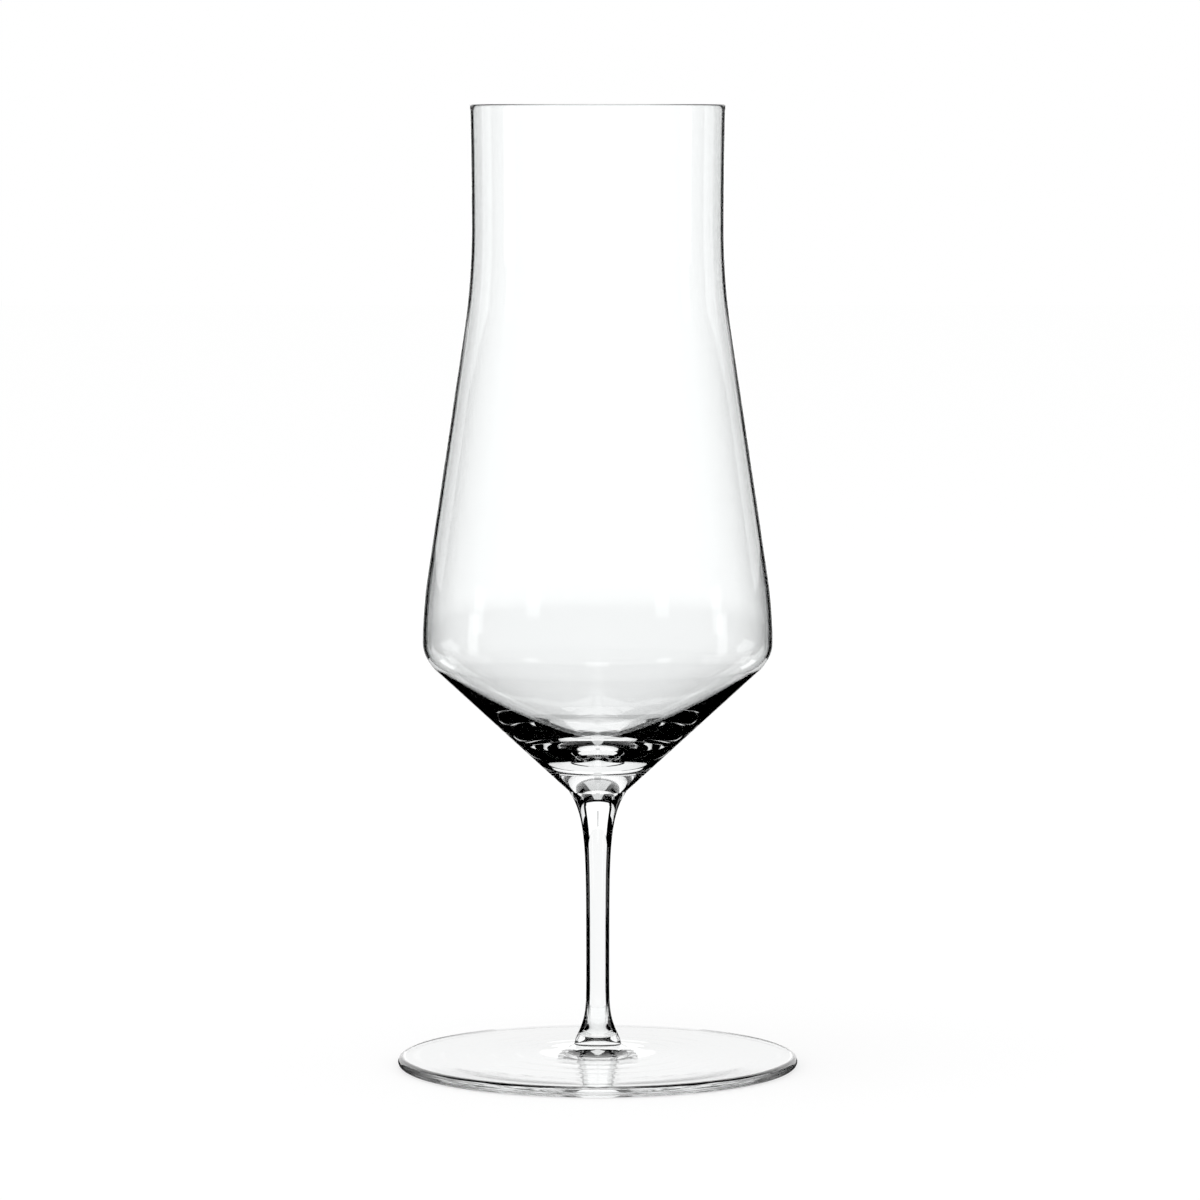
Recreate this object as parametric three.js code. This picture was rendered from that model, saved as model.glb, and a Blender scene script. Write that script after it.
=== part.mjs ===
// A stemmed tasting glass in millimetres, standing on z = 0 with its axis on +Z.
// Three gathers of clear glass fused hot: a blown bowl, a drawn stem and a pressed foot.
import * as THREE from "three";

// Heights and radii of the outside, measured from the table and from the axis.
const HEIGHT = 171.3;
const RIM_RADIUS = 22.6;
const NECK_RADIUS = 22.37;
const NECK_HEIGHT = 149.6;
const BELLY_RADIUS = 31.2;
const BELLY_HEIGHT = 76;
const BOWL_JOINT_RADIUS = 5.2;
const STEM_RADIUS = 2.06;
const FOOT_JOINT_RADIUS = 4.2;
const FOOT_JOINT_HEIGHT = 3.9;
const FOOT_RADIUS = 35.75;

// Curves of the outside. The side leans in between the belly and the neck, so its two bends are given as shares
// of that height and still meet when it changes.
const NECK_BEND_SHARE = 155 / 92;
const BELLY_BEND_SHARE = 25 / 23;
const NECK_BEND = (NECK_HEIGHT - BELLY_HEIGHT) * NECK_BEND_SHARE;
const BELLY_BEND = (NECK_HEIGHT - BELLY_HEIGHT) * BELLY_BEND_SHARE;
const SHOULDER_BEND = 6.2;
const CONE_ANGLE = 47.45;
const UPPER_FLARE = 4.55;
const LOWER_FLARE = 3.6;
const LOWER_FLARE_POWER = 1.6;

// Thickness of the glass.
const RIM_WALL = 0.55;
const BELLY_WALL = 0.65;
const INNER_CONE_BEND = 117;
const BOTTOM_THICKNESS = 7;
const BOTTOM_BEND = 25;
const FOOT_EDGE = 1.9;

// Top and underside of the foot.
const FOOT_RISE = 0.9;
const FOOT_FLARE = 1.6;
const REST_INNER_RADIUS = 30;
const REST_OUTER_RADIUS = 34.5;
const UNDERSIDE_RISE = 1.2;

const SEGMENTS = 48;

const rad = THREE.MathUtils.degToRad;
const at = (r, z) => new THREE.Vector2(r, z);

// Points on a circle from one direction to another, in degrees above the horizontal.
function arc(centre, radius, from, to, steps) {
  const points = [];
  for (let i = 0; i <= steps; i++) {
    const a = rad(from + ((to - from) * i) / steps);
    points.push(at(centre.x + radius * Math.cos(a), centre.y + radius * Math.sin(a)));
  }
  return points;
}

// Direction, in degrees above the horizontal, from one point to another.
function direction(a, b) {
  return THREE.MathUtils.radToDeg(Math.atan2(b.y - a.y, b.x - a.x));
}

// Direction, in degrees, of the normal n of a falling line with n . (b - a) equal to gap.
function tangentNormal(a, b, gap) {
  return direction(a, b) - THREE.MathUtils.radToDeg(Math.acos(gap / a.distanceTo(b)));
}

// Point at given distances from two centres, on the upper side of the line between them.
function upperCrossing(a, reachA, b, reachB) {
  const gap = a.distanceTo(b);
  const along = (reachA ** 2 - reachB ** 2 + gap ** 2) / (2 * gap);
  const off = Math.sqrt(reachA ** 2 - along ** 2);
  const u = b.clone().sub(a).divideScalar(gap);
  return at(a.x + along * u.x - off * u.y, a.y + along * u.y + off * u.x);
}

// Height where the cone of the bowl has narrowed to the radius of the stem joint.
function jointHeight() {
  const edgeRadius = BELLY_RADIUS - SHOULDER_BEND * (1 - Math.cos(rad(CONE_ANGLE)));
  const edgeHeight = BELLY_HEIGHT - SHOULDER_BEND * Math.sin(rad(CONE_ANGLE));
  return edgeHeight - (edgeRadius - BOWL_JOINT_RADIUS) / Math.tan(rad(CONE_ANGLE));
}

const BOWL_JOINT_HEIGHT = jointHeight();

// Side of the bowl from the widest point to the rim, a given wall inside the outer face.
function side(rimWall, bellyWall, top) {
  const neck = at(NECK_RADIUS - rimWall, NECK_HEIGHT);
  const neckCentre = at(neck.x + NECK_BEND + rimWall, NECK_HEIGHT);
  const bellyBend = BELLY_BEND - bellyWall;
  const bellyCentre = at(BELLY_RADIUS - BELLY_BEND, BELLY_HEIGHT);
  const lean = tangentNormal(bellyCentre, neckCentre, bellyBend + NECK_BEND + rimWall);
  const points = arc(bellyCentre, bellyBend, 0, lean, 4);
  points.push(...arc(neckCentre, NECK_BEND + rimWall, 180 + lean, 180, 5));
  for (const t of [0.5, 1]) {
    const flare = (RIM_RADIUS - NECK_RADIUS) * t * t;
    points.push(at(neck.x + flare, NECK_HEIGHT + (top - NECK_HEIGHT) * t));
  }
  return points;
}

function bowlProfile() {
  const lip = RIM_WALL / 2;
  const shoulderCentre = at(BELLY_RADIUS - SHOULDER_BEND, BELLY_HEIGHT);
  const floor = BOWL_JOINT_HEIGHT + BOTTOM_THICKNESS;
  const floorCentre = at(0, floor + BOTTOM_BEND);
  const innerBend = SHOULDER_BEND - BELLY_WALL;
  const reach = INNER_CONE_BEND - BOTTOM_BEND;
  const coneCentre = upperCrossing(floorCentre, reach, shoulderCentre, INNER_CONE_BEND - innerBend);
  const coneTop = direction(coneCentre, shoulderCentre);
  const coneFoot = direction(coneCentre, floorCentre);
  const outside = [
    at(0, BOWL_JOINT_HEIGHT),
    at(BOWL_JOINT_RADIUS, BOWL_JOINT_HEIGHT),
    ...arc(shoulderCentre, SHOULDER_BEND, -CONE_ANGLE, 0, 6),
    ...side(0, 0, HEIGHT - lip).slice(1),
  ];
  const rim = arc(at(RIM_RADIUS - lip, HEIGHT - lip), lip, 0, 180, 4).slice(1, -1);
  const inside = [
    ...side(RIM_WALL, BELLY_WALL, HEIGHT - lip).reverse(),
    ...arc(shoulderCentre, innerBend, 0, coneTop, 6).slice(1),
    ...arc(coneCentre, INNER_CONE_BEND, coneTop, coneFoot, 4).slice(1),
    ...arc(floorCentre, BOTTOM_BEND, coneFoot, -90, 8).slice(1),
  ];
  return [...outside, ...rim, ...inside];
}

function stemProfile() {
  const length = BOWL_JOINT_HEIGHT - FOOT_JOINT_HEIGHT;
  const radius = (z) =>
    STEM_RADIUS +
    (BOWL_JOINT_RADIUS - STEM_RADIUS) * Math.exp((z - length) / UPPER_FLARE) +
    (FOOT_JOINT_RADIUS - STEM_RADIUS) * Math.exp(-((z / LOWER_FLARE) ** LOWER_FLARE_POWER));
  const points = [at(0, FOOT_JOINT_HEIGHT)];
  const steps = 22;
  for (let i = 0; i <= steps; i++) {
    // Steps crowd towards both ends, where the flares bend.
    const z = (length * (1 - Math.cos((Math.PI * i) / steps))) / 2;
    points.push(at(radius(z), FOOT_JOINT_HEIGHT + z));
  }
  points.push(at(0, BOWL_JOINT_HEIGHT));
  return points;
}

function footProfile() {
  const edge = FOOT_EDGE / 2;
  const points = [];
  // The underside rises towards the axis as the top does, so the disc is evenly thick.
  const steps = 8;
  for (let i = 0; i <= steps; i++) {
    const share = i / steps;
    points.push(at(REST_INNER_RADIUS * share, UNDERSIDE_RISE * (1 - share) ** 2));
  }
  points.push(at(REST_OUTER_RADIUS, 0));
  // The edge is half an ellipse from the rest ring out to the full radius and back over the top.
  const reach = FOOT_RADIUS - REST_OUTER_RADIUS;
  for (const a of [-60, -30, 0, 30, 60, 90]) {
    points.push(at(REST_OUTER_RADIUS + reach * Math.cos(rad(a)), edge + edge * Math.sin(rad(a))));
  }
  // The top is level at the edge, steepens towards the axis and turns up into the stem's flare.
  const flare = FOOT_JOINT_HEIGHT - FOOT_EDGE - FOOT_RISE;
  const run = REST_OUTER_RADIUS - FOOT_JOINT_RADIUS;
  const top = (r) =>
    FOOT_EDGE +
    FOOT_RISE * ((REST_OUTER_RADIUS - r) / run) ** 2 +
    flare * Math.exp((FOOT_JOINT_RADIUS - r) / FOOT_FLARE);
  for (const r of [0.8, 0.6, 0.42, 0.28, 0.18, 0.11, 0.06, 0.025, 0]) {
    const radius = FOOT_JOINT_RADIUS + run * r;
    points.push(at(radius, top(radius)));
  }
  points.push(at(0, FOOT_JOINT_HEIGHT));
  return points;
}

function turned(name, profile) {
  const geometry = new THREE.LatheGeometry(profile, SEGMENTS).rotateX(Math.PI / 2);
  const glass = new THREE.MeshStandardMaterial({
    color: 0xeef3f4,
    roughness: 0.02,
    metalness: 0,
    transparent: true,
    opacity: 0.35,
  });
  const mesh = new THREE.Mesh(geometry, glass);
  mesh.name = name;
  return mesh;
}

const glass = new THREE.Group();
glass.name = "tasting_glass";
glass.add(turned("bowl", bowlProfile()));
glass.add(turned("stem", stemProfile()));
glass.add(turned("foot", footProfile()));

export default glass;
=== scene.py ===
"""A stemmed tasting glass of clear blown glass, dressed around its CAD solids and lit in a bright field.

Bowl, stem and foot are half outlines that one Geometry Nodes tree turns about the axis. The pieces meet on
flat joint faces that show nothing, because the glass there was fused hot. Lengths are in metres. The glass
stands on z = 0 with its axis on +Z, and the camera looks along +Y.
"""

import math

import bmesh
import bpy
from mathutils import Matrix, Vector


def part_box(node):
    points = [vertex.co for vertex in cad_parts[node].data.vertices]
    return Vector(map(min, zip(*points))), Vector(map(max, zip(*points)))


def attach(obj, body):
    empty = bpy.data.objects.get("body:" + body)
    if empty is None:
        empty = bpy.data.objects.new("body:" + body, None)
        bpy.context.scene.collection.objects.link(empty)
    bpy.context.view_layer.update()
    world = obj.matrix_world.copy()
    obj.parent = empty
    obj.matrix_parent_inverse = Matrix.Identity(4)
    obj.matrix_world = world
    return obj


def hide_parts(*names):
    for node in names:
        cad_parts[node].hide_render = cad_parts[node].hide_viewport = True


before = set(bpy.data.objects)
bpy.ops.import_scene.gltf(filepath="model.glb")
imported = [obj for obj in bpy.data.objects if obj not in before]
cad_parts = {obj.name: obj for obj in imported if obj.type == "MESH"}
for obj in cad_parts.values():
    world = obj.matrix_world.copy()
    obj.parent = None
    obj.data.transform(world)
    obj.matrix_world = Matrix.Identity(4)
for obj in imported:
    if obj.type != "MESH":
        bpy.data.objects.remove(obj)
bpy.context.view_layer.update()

bl_info = {
    "name": "Tasting Glass",
    "version": (1, 0, 0),
    "blender": (4, 5, 0),
    "location": "View3D > Sidebar > Tasting Glass",
    "description": "Turns the bowl, stem and foot of a stemmed glass and lights them in a bright field",
    "category": "Add Mesh",
}

MM = 0.001

# Steps along each curve of the half outlines, and the widest gap left between two of their points.
BELLY_STEPS = 8
NECK_STEPS = 12
CHIMNEY_STEPS = 8
LIP_STEPS = 12
SHOULDER_STEPS = 24
INNER_CONE_STEPS = 48
BOTTOM_STEPS = 48
STEM_STEPS = 240
UNDERSIDE_STEPS = 60
FOOT_EDGE_STEPS = 24
FOOT_TOP_STEPS = 180
POINT_GAP = 1 * MM
ROUNDING = 1e-6

# Turned points nearer than the merge gap are one point, faces this near to a joint's height belong to the
# joint, and an edge that bends more than the corner is shaded sharp.
MERGE_GAP = 0.0005 * MM
JOINT_MARGIN = 0.002 * MM
CORNER = math.radians(30)

# Length of the slow waves in the glass along x, y and z. Drawing stretched them along the stem.
BLOWN_WAVE = (9 * MM, 9 * MM, 5 * MM)
DRAWN_WAVE = (2 * MM, 2 * MM, 30 * MM)
PRESSED_WAVE = (7 * MM, 7 * MM, 7 * MM)

# Where the waves' noise is below the first value the face is fully polished, and from the second it is hazy.
POLISHED = 0.4
HAZY = 0.7

LAMP_PLACE = (-0.3, -0.2, 1.2)

BOWL_LOW, BOWL_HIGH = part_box("bowl")
STEM_LOW, STEM_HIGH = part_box("stem")
FOOT_LOW, FOOT_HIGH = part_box("foot")


def length(name, description, millimetres):
    """A size that a user would change, given here in millimetres and kept in metres."""
    return bpy.props.FloatProperty(
        name=name,
        description=description,
        default=millimetres * MM,
        precision=5,
        subtype="DISTANCE",
        unit="LENGTH",
    )


def angle(name, description, degrees):
    """An angle that a user would change, given here in degrees and kept in radians."""
    return bpy.props.FloatProperty(
        name=name,
        description=description,
        default=math.radians(degrees),
        subtype="ANGLE",
        unit="ROTATION",
    )


class BowlSizes(bpy.types.PropertyGroup):
    """Outside and inside of the blown bowl."""

    height: length("Height", "Height of the rim", BOWL_HIGH.z / MM)
    rim_radius: length("Rim Radius", "Outside radius at the rim", 22.6)
    neck_radius: length("Neck Radius", "Outside radius where the chimney is narrowest", 22.37)
    neck_height: length("Neck Height", "Height where the chimney is narrowest", 149.6)
    belly_radius: length("Belly Radius", "Outside radius at the widest point", BOWL_HIGH.x / MM)
    belly_height: length("Belly Height", "Height of the widest point", 76)
    neck_bend: length("Neck Bend", "Radius of the curve from belly to chimney", 124)
    belly_bend: length("Belly Bend", "Radius of the curve just above the widest point", 80)
    shoulder_bend: length("Shoulder Bend", "Radius of the curve just below the widest point", 6.2)
    cone_angle: angle("Cone Angle", "Lean of the cone away from the axis", 47.45)
    joint_radius: length("Joint Radius", "Radius of the face fused to the stem", STEM_HIGH.x / MM)
    joint_height: length("Joint Height", "Height of the face fused to the stem", BOWL_LOW.z / MM)
    rim_wall: length("Rim Wall", "Thickness of the wall at the rim", 0.55)
    belly_wall: length("Belly Wall", "Thickness of the wall at the widest point", 0.65)
    inner_cone_bend: length("Inner Cone Bend", "Radius of the gentle hollow inside the cone", 117)
    bottom_thickness: length("Bottom Thickness", "Solid glass between the inside and the stem", 7)
    bottom_bend: length("Bottom Bend", "Radius of the round floor inside the cone", 25)


class StemSizes(bpy.types.PropertyGroup):
    """The drawn stem between the two joints."""

    radius: length("Radius", "Radius of the stem between its flares", 2.06)
    upper_flare: length("Upper Flare", "Height in which the flare under the bowl shrinks to a third", 4.55)
    lower_flare: length("Lower Flare", "Height in which the flare over the foot shrinks to a third", 3.6)
    lower_flare_power: bpy.props.FloatProperty(
        name="Lower Flare Power",
        description="How upright the flare over the foot leaves its joint",
        default=1.6,
    )


class FootSizes(bpy.types.PropertyGroup):
    """The pressed foot."""

    radius: length("Radius", "Radius of the foot", FOOT_HIGH.x / MM)
    joint_radius: length("Joint Radius", "Radius of the face fused to the stem", 4.2)
    joint_height: length("Joint Height", "Height of the face fused to the stem", FOOT_HIGH.z / MM)
    edge: length("Edge", "Thickness of the rounded edge", 1.9)
    rise: length("Rise", "Rise of the top from the edge to the stem", 0.9)
    flare: length("Flare", "Run in which the flare around the stem shrinks to a third", 1.6)
    rest_inner_radius: length("Rest Inner Radius", "Where the ring the foot stands on starts", 30)
    rest_outer_radius: length("Rest Outer Radius", "Where the ring the foot stands on ends", 34.5)
    underside_rise: length("Underside Rise", "Hollow under the middle of the foot", 1.2)
    ripple_depth: length("Ripple Depth", "Height of the rings left by pressing", 0.015)
    ripple_spacing: length("Ripple Spacing", "Distance between the rings left by pressing", 4.5)
    ripple_reach: length("Ripple Reach", "Distance from the stem joint at which the rings are highest", 8)


class GlassLook(bpy.types.PropertyGroup):
    """Clear crystal glass, its faint waves and how finely it is turned."""

    tint: bpy.props.StringProperty(
        name="Tint",
        description="Colour of the light that the glass lets through, as sRGB hex",
        default="FDFEFE",
    )
    ior: bpy.props.FloatProperty(name="IOR", description="How strongly the glass bends light", default=1.52)
    haze: bpy.props.FloatProperty(
        name="Haze", description="Roughness of the face where it is least polished", default=0.03
    )
    wave_height: length("Wave Height", "Height of the slow waves in the face", 0.002)
    segments: bpy.props.IntProperty(name="Segments", description="Steps around the axis", default=192, min=8)


class StageLook(bpy.types.PropertyGroup):
    """Camera, floor and the bright field that the glass is seen against."""

    lens: bpy.props.FloatProperty(name="Lens", description="Focal length in millimetres", default=176.4)
    camera_distance: length("Camera Distance", "Distance from the axis to the camera", 1041.2)
    camera_height: length("Camera Height", "Height of the camera, level with the rim", 171.3)
    aim_height: length("Aim Height", "Height of the point in the middle of the picture", 83.5)
    aim_right: length("Aim Right", "How far right of the axis the camera looks", 0.4)
    softness: angle("Softness", "Half the blur of a window's edge", 0.7)
    shadow: bpy.props.FloatProperty(
        name="Shadow",
        description="Share of the floor's look that comes from the light that falls on it",
        default=0.3,
    )
    floor_colour: bpy.props.StringProperty(
        name="Floor Colour", description="Colour of the floor's white card, as sRGB hex", default="F4F4F4"
    )
    floor_size: length("Floor Size", "Side of the square floor", 8000)
    floor_light: bpy.props.FloatProperty(
        name="Floor Light", description="Strength of the even light that the floor gets", default=1.09
    )
    card_light: bpy.props.FloatProperty(
        name="Card Light", description="Strength of the cards seen through the glass", default=1.05
    )
    low_card_light: bpy.props.FloatProperty(
        name="Low Card Light", description="Strength of the cards seen in its reflections", default=0.9
    )
    lamp_size: length("Lamp Size", "Side of the square lamp above the glass", 800)
    lamp_power: bpy.props.FloatProperty(
        name="Lamp Power", description="Power of the lamp above the glass", default=2, unit="POWER"
    )


class GlassSettings(bpy.types.PropertyGroup):
    """All settings of the glass, kept on the scene."""

    bowl: bpy.props.PointerProperty(type=BowlSizes)
    stem: bpy.props.PointerProperty(type=StemSizes)
    foot: bpy.props.PointerProperty(type=FootSizes)
    look: bpy.props.PointerProperty(type=GlassLook)
    stage: bpy.props.PointerProperty(type=StageLook)


def linear(hex_colour):
    """Linear RGBA of an sRGB hex colour."""
    channels = [int(hex_colour[i : i + 2], 16) / 255 for i in (0, 2, 4)]
    return [c / 12.92 if c <= 0.04045 else ((c + 0.055) / 1.055) ** 2.4 for c in channels] + [1.0]


def add_node(tree, kind, inputs=(), **settings):
    """A new node of a tree, with its settings and links.

    Inputs, by place or by name, are values, sockets, or nodes whose first output is meant.
    """
    node = tree.nodes.new(kind)
    for name, value in settings.items():
        setattr(node, name, value)
    for key, value in inputs.items() if isinstance(inputs, dict) else enumerate(inputs):
        if isinstance(value, bpy.types.Node):
            value = value.outputs[0]
        if isinstance(value, bpy.types.NodeSocket):
            tree.links.new(value, node.inputs[key])
        else:
            node.inputs[key].default_value = value
    return node


# Half outlines


def arc(centre, radius, start, end, steps):
    """Points (r, z) on a circle from one direction to another, in radians above the horizontal."""
    turns = [start + (end - start) * i / steps for i in range(steps + 1)]
    return [(centre[0] + radius * math.cos(a), centre[1] + radius * math.sin(a)) for a in turns]


def tangent_normal(a, b, gap):
    """Direction of the normal n of the falling line with n . (b - a) equal to gap."""
    across, up = b[0] - a[0], b[1] - a[1]
    return math.atan2(up, across) - math.acos(gap / math.hypot(across, up))


def upper_crossing(a, reach_a, b, reach_b):
    """The point at given distances from two centres, on the upper side of the line between them."""
    across, up = b[0] - a[0], b[1] - a[1]
    gap = math.hypot(across, up)
    along = (reach_a**2 - reach_b**2 + gap**2) / (2 * gap)
    off = math.sqrt(reach_a**2 - along**2)
    return (a[0] + (along * across - off * up) / gap, a[1] + (along * up + off * across) / gap)


def closer(points, spacing):
    """The same outline with no two neighbours further apart than the spacing, and no point twice."""
    result = [points[0]]
    for point in points[1:]:
        last = result[-1]
        steps = math.ceil(math.dist(last, point) / spacing - ROUNDING)
        for i in range(1, steps + 1):
            share = i / steps
            result.append(tuple(p + (q - p) * share for p, q in zip(last, point)))
    return result


def bowl_side(bowl, rim_wall, belly_wall):
    """The side of the bowl from its widest point to the rim, a wall's thickness inside the outer face."""
    belly_bend = bowl.belly_bend - belly_wall
    neck_bend = bowl.neck_bend + rim_wall
    belly_centre = (bowl.belly_radius - bowl.belly_bend, bowl.belly_height)
    neck_centre = (bowl.neck_radius + bowl.neck_bend, bowl.neck_height)
    lean = tangent_normal(belly_centre, neck_centre, belly_bend + neck_bend)
    points = arc(belly_centre, belly_bend, 0, lean, BELLY_STEPS)
    points += arc(neck_centre, neck_bend, math.pi + lean, math.pi, NECK_STEPS)
    top = bowl.height - bowl.rim_wall / 2
    for i in range(1, CHIMNEY_STEPS + 1):
        share = i / CHIMNEY_STEPS
        radius = bowl.neck_radius - rim_wall + (bowl.rim_radius - bowl.neck_radius) * share**2
        points.append((radius, bowl.neck_height + (top - bowl.neck_height) * share))
    return points


def bowl_outline(bowl):
    """From the joint on the axis up the outside, over the lip and down the inside to the axis."""
    lip = bowl.rim_wall / 2
    shoulder = (bowl.belly_radius - bowl.shoulder_bend, bowl.belly_height)
    inner_bend = bowl.shoulder_bend - bowl.belly_wall
    floor_centre = (0, bowl.joint_height + bowl.bottom_thickness + bowl.bottom_bend)
    cone_centre = upper_crossing(
        floor_centre, bowl.inner_cone_bend - bowl.bottom_bend, shoulder, bowl.inner_cone_bend - inner_bend
    )
    from_shoulder = math.atan2(shoulder[1] - cone_centre[1], shoulder[0] - cone_centre[0])
    to_floor = math.atan2(floor_centre[1] - cone_centre[1], floor_centre[0] - cone_centre[0])
    points = [(0, bowl.joint_height), (bowl.joint_radius, bowl.joint_height)]
    points += arc(shoulder, bowl.shoulder_bend, -bowl.cone_angle, 0, SHOULDER_STEPS)
    points += bowl_side(bowl, 0, 0)[1:]
    points += arc((bowl.rim_radius - lip, bowl.height - lip), lip, 0, math.pi, LIP_STEPS)[1:-1]
    points += reversed(bowl_side(bowl, bowl.rim_wall, bowl.belly_wall))
    points += arc(shoulder, inner_bend, 0, from_shoulder, SHOULDER_STEPS)[1:]
    points += arc(cone_centre, bowl.inner_cone_bend, from_shoulder, to_floor, INNER_CONE_STEPS)[1:]
    points += arc(floor_centre, bowl.bottom_bend, to_floor, -math.pi / 2, BOTTOM_STEPS)[1:]
    return closer(points, POINT_GAP)


def stem_outline(stem, bowl, foot):
    """From the foot joint on the axis up the drawn side to the bowl joint on the axis."""
    rise = bowl.joint_height - foot.joint_height
    points = [(0, foot.joint_height)]
    for i in range(STEM_STEPS + 1):
        up = rise * i / STEM_STEPS
        upper_share = math.exp((up - rise) / stem.upper_flare)
        lower_share = math.exp(-((up / stem.lower_flare) ** stem.lower_flare_power))
        radius = stem.radius
        radius += (bowl.joint_radius - stem.radius) * upper_share
        radius += (foot.joint_radius - stem.radius) * lower_share
        points.append((radius, foot.joint_height + up))
    points.append((0, bowl.joint_height))
    return closer(points, POINT_GAP)


def foot_outline(foot):
    """From the hollow underside out to the edge and back over the rippled top to the stem joint."""
    points = []
    for i in range(UNDERSIDE_STEPS + 1):
        share = i / UNDERSIDE_STEPS
        points.append((foot.rest_inner_radius * share, foot.underside_rise * (1 - share) ** 2))
    half = foot.edge / 2
    reach = foot.radius - foot.rest_outer_radius
    for i in range(FOOT_EDGE_STEPS + 1):
        turn = math.pi * (i / FOOT_EDGE_STEPS - 0.5)
        points.append((foot.rest_outer_radius + reach * math.cos(turn), half + half * math.sin(turn)))
    run = foot.rest_outer_radius - foot.joint_radius
    flare = foot.joint_height - foot.edge - foot.rise
    for i in range(1, FOOT_TOP_STEPS + 1):
        inward = run * i / FOOT_TOP_STEPS
        out = run - inward
        height = foot.edge + foot.rise * (inward / run) ** 2 + flare * math.exp(-out / foot.flare)
        fade = out / foot.ripple_reach * math.exp(1 - out / foot.ripple_reach)
        height += foot.ripple_depth * fade * math.cos(2 * math.pi * out / foot.ripple_spacing)
        points.append((foot.joint_radius + out, height))
    points.append((0, foot.joint_height))
    return closer(points, POINT_GAP)


# Turning


def turning_tree():
    """Geometry Nodes that wrap a grid round the axis along a half outline and close it."""
    tree = bpy.data.node_groups.get("Turned Glass")
    if tree:
        return tree
    tree = bpy.data.node_groups.new("Turned Glass", "GeometryNodeTree")
    for name, kind in (
        ("Outline", "Geometry"),
        ("Segments", "Int"),
        ("Lower Joint", "Float"),
        ("Upper Joint", "Float"),
        ("Glass", "Material"),
        ("Joint", "Material"),
    ):
        tree.interface.new_socket(name, in_out="INPUT", socket_type="NodeSocket" + kind)
    tree.interface.new_socket("Turned", in_out="OUTPUT", socket_type="NodeSocketGeometry")

    given = add_node(tree, "NodeGroupInput").outputs
    points = add_node(tree, "GeometryNodeAttributeDomainSize", [given["Outline"]]).outputs["Point Count"]
    rings = add_node(tree, "ShaderNodeMath", [given["Segments"], 1.0], operation="ADD")
    grid = add_node(
        tree,
        "GeometryNodeMeshGrid",
        {"Vertices X": points, "Vertices Y": rings, "Size X": 1.0, "Size Y": 1.0},
    )
    place = add_node(tree, "GeometryNodeInputPosition")
    flat = add_node(tree, "ShaderNodeSeparateXYZ", [place]).outputs
    along = add_node(tree, "ShaderNodeMath", [flat["X"], 0.5], operation="ADD")
    last = add_node(tree, "ShaderNodeMath", [points, 1.0], operation="SUBTRACT")
    step = add_node(tree, "ShaderNodeMath", [along, last], operation="MULTIPLY")
    index = add_node(tree, "ShaderNodeMath", [step], operation="ROUND")
    turn = add_node(tree, "ShaderNodeMath", [flat["Y"], 2 * math.pi], operation="MULTIPLY")
    sample = add_node(
        tree,
        "GeometryNodeSampleIndex",
        {"Geometry": given["Outline"], "Value": place, "Index": index},
        data_type="FLOAT_VECTOR",
    )
    upright = add_node(
        tree, "ShaderNodeVectorRotate", {"Vector": sample, "Angle": turn}, rotation_type="Z_AXIS"
    )
    shell = add_node(tree, "GeometryNodeSetPosition", {"Geometry": grid, "Position": upright})
    closed = add_node(tree, "GeometryNodeMergeByDistance", {"Geometry": shell, "Distance": MERGE_GAP})
    smooth = add_node(
        tree, "GeometryNodeSetShadeSmooth", {"Geometry": closed, "Shade Smooth": True}, domain="FACE"
    )
    bend = add_node(tree, "GeometryNodeInputMeshEdgeAngle").outputs["Unsigned Angle"]
    corner = add_node(tree, "FunctionNodeCompare", {"A": bend, "B": CORNER}, operation="GREATER_THAN")
    sharp = add_node(
        tree,
        "GeometryNodeSetShadeSmooth",
        {"Geometry": smooth, "Selection": corner, "Shade Smooth": False},
        domain="EDGE",
    )
    solid = add_node(tree, "GeometryNodeRealizeInstances", {"Geometry": sharp})
    finished = add_node(tree, "GeometryNodeSetMaterial", {"Geometry": solid, "Material": given["Glass"]})
    height = add_node(tree, "ShaderNodeSeparateXYZ", [place]).outputs["Z"]
    for joint in ("Lower Joint", "Upper Joint"):
        level = add_node(
            tree,
            "FunctionNodeCompare",
            {"A": height, "B": given[joint], "Epsilon": JOINT_MARGIN},
            operation="EQUAL",
        )
        finished = add_node(
            tree,
            "GeometryNodeSetMaterial",
            {"Geometry": finished, "Selection": level, "Material": given["Joint"]},
        )
    add_node(tree, "NodeGroupOutput", [finished])
    return tree


def turned(name, outline, joints, glass, segments):
    """A closed mesh object turned from a half outline, with fused faces at the joint heights."""
    mesh = bpy.data.meshes.new(name)
    mesh.from_pydata([(r, 0, z) for r, z in outline], [(i, i + 1) for i in range(len(outline) - 1)], [])
    piece = bpy.data.objects.new(name, mesh)
    bpy.context.scene.collection.objects.link(piece)
    tree = turning_tree()
    modifier = piece.modifiers.new("Turning", "NODES")
    modifier.node_group = tree
    given = {
        "Segments": segments,
        "Lower Joint": joints[0],
        "Upper Joint": joints[1],
        "Glass": glass,
        "Joint": fused_joint(),
    }
    for socket in tree.interface.items_tree:
        if socket.in_out == "INPUT" and socket.name in given:
            modifier[socket.identifier] = given[socket.name]
    graph = bpy.context.evaluated_depsgraph_get()
    solid = bpy.data.meshes.new_from_object(piece.evaluated_get(graph), depsgraph=graph)
    piece.modifiers.remove(modifier)
    piece.data = solid
    bpy.data.meshes.remove(mesh)
    shape = bmesh.new()
    shape.from_mesh(solid)
    bmesh.ops.recalc_face_normals(shape, faces=shape.faces)
    open_edges = sum(not edge.is_manifold for edge in shape.edges)
    shape.to_mesh(solid)
    shape.free()
    if open_edges:
        raise RuntimeError(f"{name} has {open_edges} open edges")
    return piece


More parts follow.
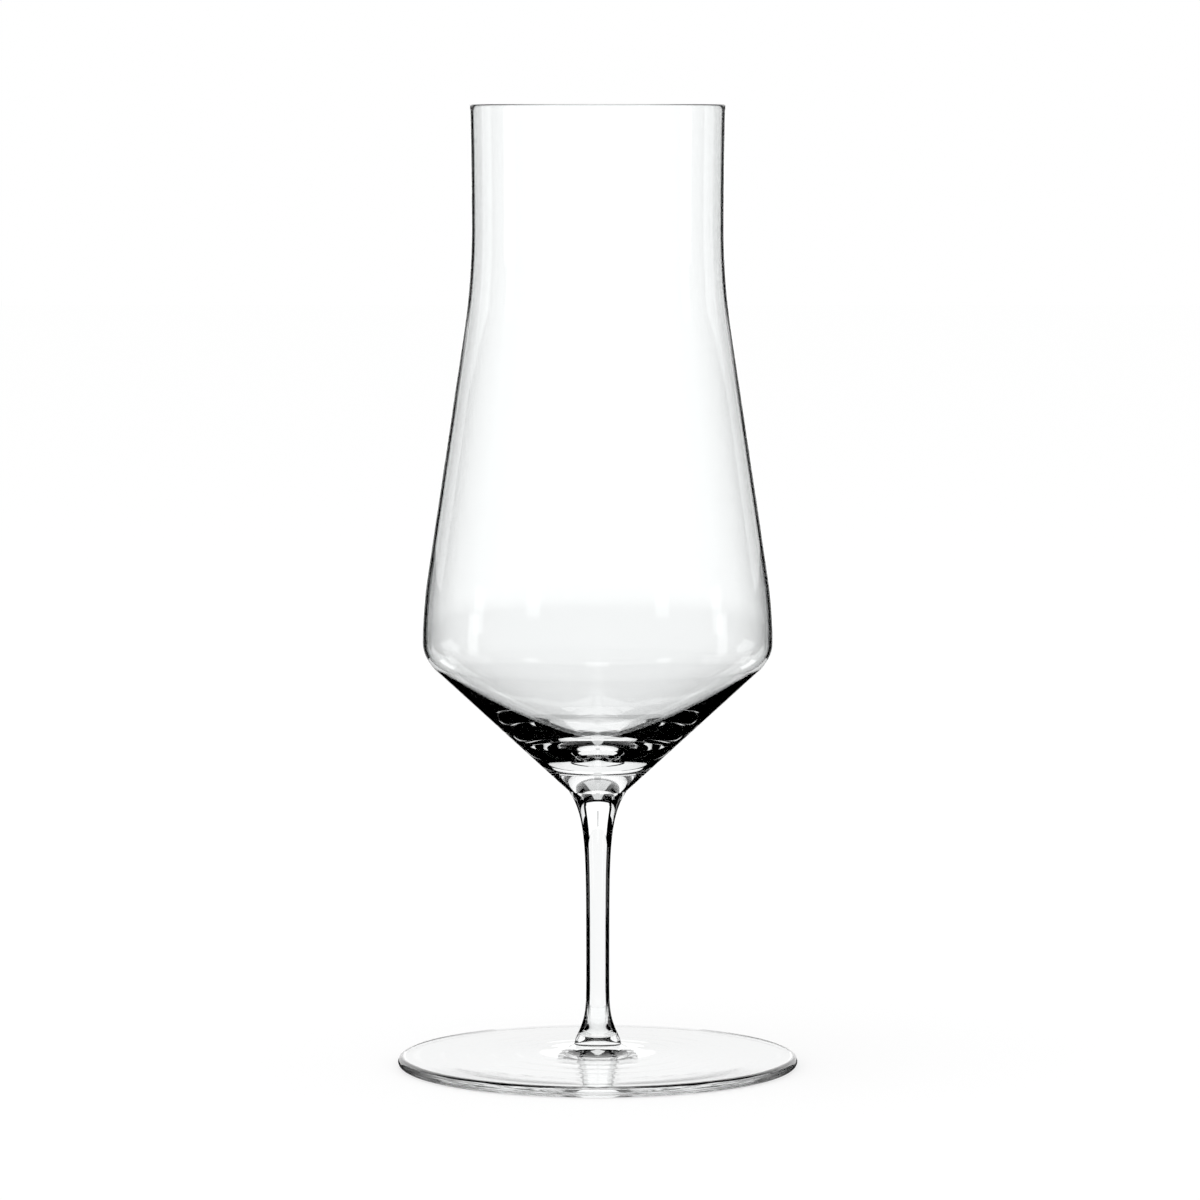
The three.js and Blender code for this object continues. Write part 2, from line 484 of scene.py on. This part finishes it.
def dress(piece, node):
    """Puts a finished piece in the place of its CAD node."""
    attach(piece, "root")
    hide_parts(node)


# Materials


def clear_glass(name, look, wave):
    """Colourless crystal glass, fire polished.

    It gives the eye sharp reflections, a bright core, dark edges and faint slow waves.
    """
    material = bpy.data.materials.new(name)
    material.use_nodes = True
    tree = material.node_tree
    shader = tree.nodes["Principled BSDF"]
    shader.inputs["Base Color"].default_value = linear(look.tint)
    shader.inputs["IOR"].default_value = look.ior
    shader.inputs["Transmission Weight"].default_value = 1.0
    place = add_node(tree, "ShaderNodeTexCoord").outputs["Object"]
    in_waves = add_node(tree, "ShaderNodeVectorMath", [place, wave], operation="DIVIDE")
    waves = add_node(tree, "ShaderNodeTexNoise", {"Vector": in_waves, "Scale": 1.0, "Detail": 1.0})
    bump = add_node(tree, "ShaderNodeBump", {"Height": waves, "Distance": look.wave_height})
    tree.links.new(bump.outputs["Normal"], shader.inputs["Normal"])
    polish = add_node(
        tree,
        "ShaderNodeMapRange",
        {"Value": waves, "From Min": POLISHED, "From Max": HAZY, "To Max": look.haze},
    )
    tree.links.new(polish.outputs["Result"], shader.inputs["Roughness"])
    return material


def fused_joint():
    """Glass run together hot: the face between two pieces is gone, so light goes straight through it."""
    material = bpy.data.materials.get("Fused glass joint")
    if material:
        return material
    material = bpy.data.materials.new("Fused glass joint")
    material.use_nodes = True
    tree = material.node_tree
    tree.nodes.clear()
    add_node(tree, "ShaderNodeOutputMaterial", [add_node(tree, "ShaderNodeBsdfTransparent")])
    return material


def pale_floor(stage):
    """Smooth white card. The camera sees it lit from within as well, so it keeps only a soft shadow."""
    material = bpy.data.materials.new("White card, matt")
    material.use_nodes = True
    tree = material.node_tree
    tree.nodes.clear()
    card = add_node(tree, "ShaderNodeBsdfDiffuse", {"Color": linear(stage.floor_colour)})
    white = add_node(tree, "ShaderNodeEmission", {"Strength": 1.0})
    seen = add_node(tree, "ShaderNodeLightPath").outputs["Is Camera Ray"]
    share = add_node(tree, "ShaderNodeMath", [seen, 1 - stage.shadow], operation="MULTIPLY")
    mixed = add_node(tree, "ShaderNodeMixShader", [share, card, white])
    add_node(tree, "ShaderNodeOutputMaterial", [mixed])
    return material


# Lit windows around the glass: strength, then degrees from straight behind it to either side (middle and half
# width), then degrees above the horizon (from and to). What lies between them is dark and draws the outlines.
WINDOWS = {
    "panel behind": (1.25, 0, 12, -5.3, 4),
    "panel behind, low": (1.12, 0, 12, -8, -3.5),
    "panel above": (0.78, 0, 3.2, 1, 16),
    "panel beside it": (1.25, 14, 12.2, 1, 26),
    "panel high": (1.2, 0, 25, 15, 34),
    "panel overhead": (0.8, 0, 14, 48, 90),
    "panel foot": (1.1, 0, 12, -12, -5.8),
    "far table": (1.0, 0, 8, -22, -8),
    "table": (0.8, 0, 6, -38, -14),
    "table at the foot": (0.9, 0, 18, -54, -36),
    "left and right": (0.95, 90, 4.5, -13, 2),
    "half behind": (1.0, 45, 5, -31, -19),
    "half in front": (1.0, 135, 5, -21, -9),
    "in front": (1.0, 180, 8, -33, -18),
}


def bright_field(stage):
    """White for the camera. The glass shows lit windows in dark surroundings."""
    world = bpy.data.worlds.new("Bright field")
    world.use_nodes = True
    world.cycles.sampling_method = "NONE"
    tree = world.node_tree
    tree.nodes.clear()
    outward = add_node(tree, "ShaderNodeTexCoord").outputs["Generated"]
    way = add_node(tree, "ShaderNodeSeparateXYZ", [outward]).outputs
    turn = add_node(tree, "ShaderNodeMath", [way["X"], way["Y"]], operation="ARCTAN2")
    around = add_node(tree, "ShaderNodeMath", [turn], operation="ABSOLUTE")
    up = add_node(tree, "ShaderNodeMath", [way["Z"]], operation="ARCSINE")
    soft = stage.softness
    field = 0.0
    for lit, *degrees in WINDOWS.values():
        middle, half_width, low, high = (math.radians(d) for d in degrees)
        offset = add_node(tree, "ShaderNodeMath", [around, middle], operation="SUBTRACT")
        aside = add_node(tree, "ShaderNodeMath", [offset], operation="ABSOLUTE")
        for value, start, end in (
            (aside, half_width + soft, half_width - soft),
            (up, low - soft, low + soft),
            (up, high + soft, high - soft),
        ):
            edge = add_node(
                tree,
                "ShaderNodeMapRange",
                {"Value": value, "From Min": start, "From Max": end},
                interpolation_type="SMOOTHSTEP",
            )
            lit = add_node(tree, "ShaderNodeMath", [lit, edge], operation="MULTIPLY")
        field = add_node(tree, "ShaderNodeMath", [field, lit], operation="MAXIMUM")
    path = add_node(tree, "ShaderNodeLightPath").outputs
    by_glass = add_node(
        tree, "ShaderNodeMath", [path["Is Glossy Ray"], path["Is Transmission Ray"]], operation="MAXIMUM"
    )
    # The floor gets a little more light than the camera sees, so its matt white meets the white behind it.
    plain = add_node(
        tree, "ShaderNodeMapRange", {"Value": path["Is Camera Ray"], "To Min": stage.floor_light}
    )
    strength = add_node(tree, "ShaderNodeMix", {0: by_glass, 2: plain, 3: field})
    light = add_node(tree, "ShaderNodeBackground", {"Color": linear("FFFFFF"), "Strength": strength})
    add_node(tree, "ShaderNodeOutputWorld", [light])
    return world


# White cards close to the glass, as corners in millimetres, which show only through it. One with its upper
# corners cut off stands behind the stem and one lies behind it on the table, so the stem has a clean bright
# core. Two hang behind the bowl, to its left and right, and thin its outline.
WHITE_CARDS = (
    ((-90, 150, -30), (90, 150, -30), (90, 150, 36), (-90, 150, 36)),
    ((-90, 150, 36), (90, 150, 36), (40, 150, 50), (-40, 150, 50)),
    ((-3, 4, -0.5), (3, 4, -0.5), (42, 70, -0.5), (-42, 70, -0.5)),
    ((98, 150, 90), (215, 150, 90), (215, 150, 185), (98, 150, 185)),
    ((-215, 150, 90), (-98, 150, 90), (-98, 150, 185), (-215, 150, 185)),
)
# Two low cards to the left and right, which only reflections show. From the side they give the foot a sheen.
LOW_CARDS = (
    ((150, -60, 5), (150, 60, 5), (150, 60, 60), (150, -60, 60)),
    ((-150, -60, 5), (-150, 60, 5), (-150, 60, 60), (-150, -60, 60)),
)


def lit_card(name, strength):
    """Smooth white card with a lamp on it: one even light with no hot spot."""
    material = bpy.data.materials.new(name)
    material.use_nodes = True
    material.cycles.emission_sampling = "NONE"
    tree = material.node_tree
    tree.nodes.clear()
    glow = add_node(tree, "ShaderNodeEmission", {"Strength": strength})
    add_node(tree, "ShaderNodeOutputMaterial", [glow])
    return material


def stage_cards(name, outlines, card, reflected):
    """Four-cornered cards that the glass alone shows, in its reflections or in what is seen through it."""
    corners = [[c * MM for c in corner] for outline in outlines for corner in outline]
    mesh = bpy.data.meshes.new(name)
    mesh.from_pydata(corners, [], [range(4 * i, 4 * i + 4) for i in range(len(outlines))])
    mesh.materials.append(card)
    cards = bpy.data.objects.new(name, mesh)
    cards.visible_camera = False
    cards.visible_diffuse = False
    cards.visible_glossy = reflected
    cards.visible_transmission = not reflected
    cards.visible_shadow = False
    return cards


# Operators


class TASTING_GLASS_OT_bowl(bpy.types.Operator):
    """Turn the blown bowl and put it in the place of its CAD node"""

    bl_idname = "tasting_glass.bowl"
    bl_label = "Turn Bowl"

    def execute(self, context):
        settings = context.scene.tasting_glass
        bowl = settings.bowl
        glass = clear_glass("Crystal glass, blown", settings.look, BLOWN_WAVE)
        joints = (bowl.joint_height, bowl.joint_height)
        piece = turned("blown_bowl", bowl_outline(bowl), joints, glass, settings.look.segments)
        dress(piece, "bowl")
        return {"FINISHED"}


class TASTING_GLASS_OT_stem(bpy.types.Operator):
    """Turn the drawn stem and put it in the place of its CAD node"""

    bl_idname = "tasting_glass.stem"
    bl_label = "Turn Stem"

    def execute(self, context):
        settings = context.scene.tasting_glass
        bowl, foot = settings.bowl, settings.foot
        glass = clear_glass("Crystal glass, drawn", settings.look, DRAWN_WAVE)
        joints = (foot.joint_height, bowl.joint_height)
        outline = stem_outline(settings.stem, bowl, foot)
        piece = turned("drawn_stem", outline, joints, glass, settings.look.segments)
        dress(piece, "stem")
        return {"FINISHED"}


class TASTING_GLASS_OT_foot(bpy.types.Operator):
    """Turn the pressed foot and put it in the place of its CAD node"""

    bl_idname = "tasting_glass.foot"
    bl_label = "Turn Foot"

    def execute(self, context):
        settings = context.scene.tasting_glass
        foot = settings.foot
        glass = clear_glass("Crystal glass, pressed", settings.look, PRESSED_WAVE)
        joints = (foot.joint_height, foot.joint_height)
        piece = turned("pressed_foot", foot_outline(foot), joints, glass, settings.look.segments)
        dress(piece, "foot")
        return {"FINISHED"}


class TASTING_GLASS_OT_stage(bpy.types.Operator):
    """Set the pale floor, the cards, the soft lamp, the bright field and the camera"""

    bl_idname = "tasting_glass.stage"
    bl_label = "Set Stage"

    def execute(self, context):
        scene = context.scene
        stage = scene.tasting_glass.stage
        scene.world = bright_field(stage)

        half = stage.floor_size / 2
        corners = [(-half, -half, 0), (half, -half, 0), (half, half, 0), (-half, half, 0)]
        floor_mesh = bpy.data.meshes.new("floor")
        floor_mesh.from_pydata(corners, [], [range(4)])
        floor_mesh.materials.append(pale_floor(stage))
        floor = bpy.data.objects.new("floor", floor_mesh)
        floor.visible_glossy = False
        floor.visible_transmission = False

        lamp_data = bpy.data.lights.new("soft lamp", "AREA")
        lamp_data.size = stage.lamp_size
        lamp_data.energy = stage.lamp_power
        lamp = bpy.data.objects.new("soft lamp", lamp_data)
        lamp.location = LAMP_PLACE
        lamp.rotation_euler = (-lamp.location).to_track_quat("-Z", "Y").to_euler()
        lamp.visible_glossy = False
        lamp.visible_transmission = False

        camera_data = bpy.data.cameras.new("camera")
        camera_data.lens = stage.lens
        camera = bpy.data.objects.new("camera", camera_data)
        camera.location = (stage.aim_right, -stage.camera_distance, stage.camera_height)
        aim = Vector((stage.aim_right, 0, stage.aim_height)) - camera.location
        camera.rotation_euler = aim.to_track_quat("-Z", "Y").to_euler()

        bright_card = lit_card("White card, brightly lit", stage.card_light)
        white_cards = stage_cards("white_cards", WHITE_CARDS, bright_card, False)
        dim_card = lit_card("White card, dimly lit", stage.low_card_light)
        low_cards = stage_cards("low_cards", LOW_CARDS, dim_card, True)
        for item in (floor, white_cards, low_cards, lamp, camera):
            scene.collection.objects.link(item)
        scene.camera = camera
        scene.view_settings.view_transform = "Standard"
        # Light crosses many faces inside the bowl's solid bottom before it leaves.
        scene.cycles.max_bounces = 32
        scene.cycles.transmission_bounces = 32
        scene.cycles.glossy_bounces = 16
        scene.cycles.transparent_max_bounces = 32
        return {"FINISHED"}


class TASTING_GLASS_PT_sidebar(bpy.types.Panel):
    """Sizes, look and steps of the glass"""

    bl_idname = "TASTING_GLASS_PT_sidebar"
    bl_label = "Tasting Glass"
    bl_space_type = "VIEW_3D"
    bl_region_type = "UI"
    bl_category = "Tasting Glass"

    def draw(self, context):
        settings = context.scene.tasting_glass
        for name in ("look", "bowl", "stem", "foot", "stage"):
            box = self.layout.box()
            group = getattr(settings, name)
            for field in group.__annotations__:
                box.prop(group, field)
            if name != "look":
                box.operator("tasting_glass." + name)


CLASSES = (
    BowlSizes,
    StemSizes,
    FootSizes,
    GlassLook,
    StageLook,
    GlassSettings,
    TASTING_GLASS_OT_bowl,
    TASTING_GLASS_OT_stem,
    TASTING_GLASS_OT_foot,
    TASTING_GLASS_OT_stage,
    TASTING_GLASS_PT_sidebar,
)


def register():
    for cls in CLASSES:
        bpy.utils.register_class(cls)
    bpy.types.Scene.tasting_glass = bpy.props.PointerProperty(type=GlassSettings)


def unregister():
    del bpy.types.Scene.tasting_glass
    for cls in reversed(CLASSES):
        bpy.utils.unregister_class(cls)


def main():
    register()
    bpy.ops.tasting_glass.bowl()
    bpy.ops.tasting_glass.stem()
    bpy.ops.tasting_glass.foot()
    bpy.ops.tasting_glass.stage()


if __name__ == "__main__":
    main()
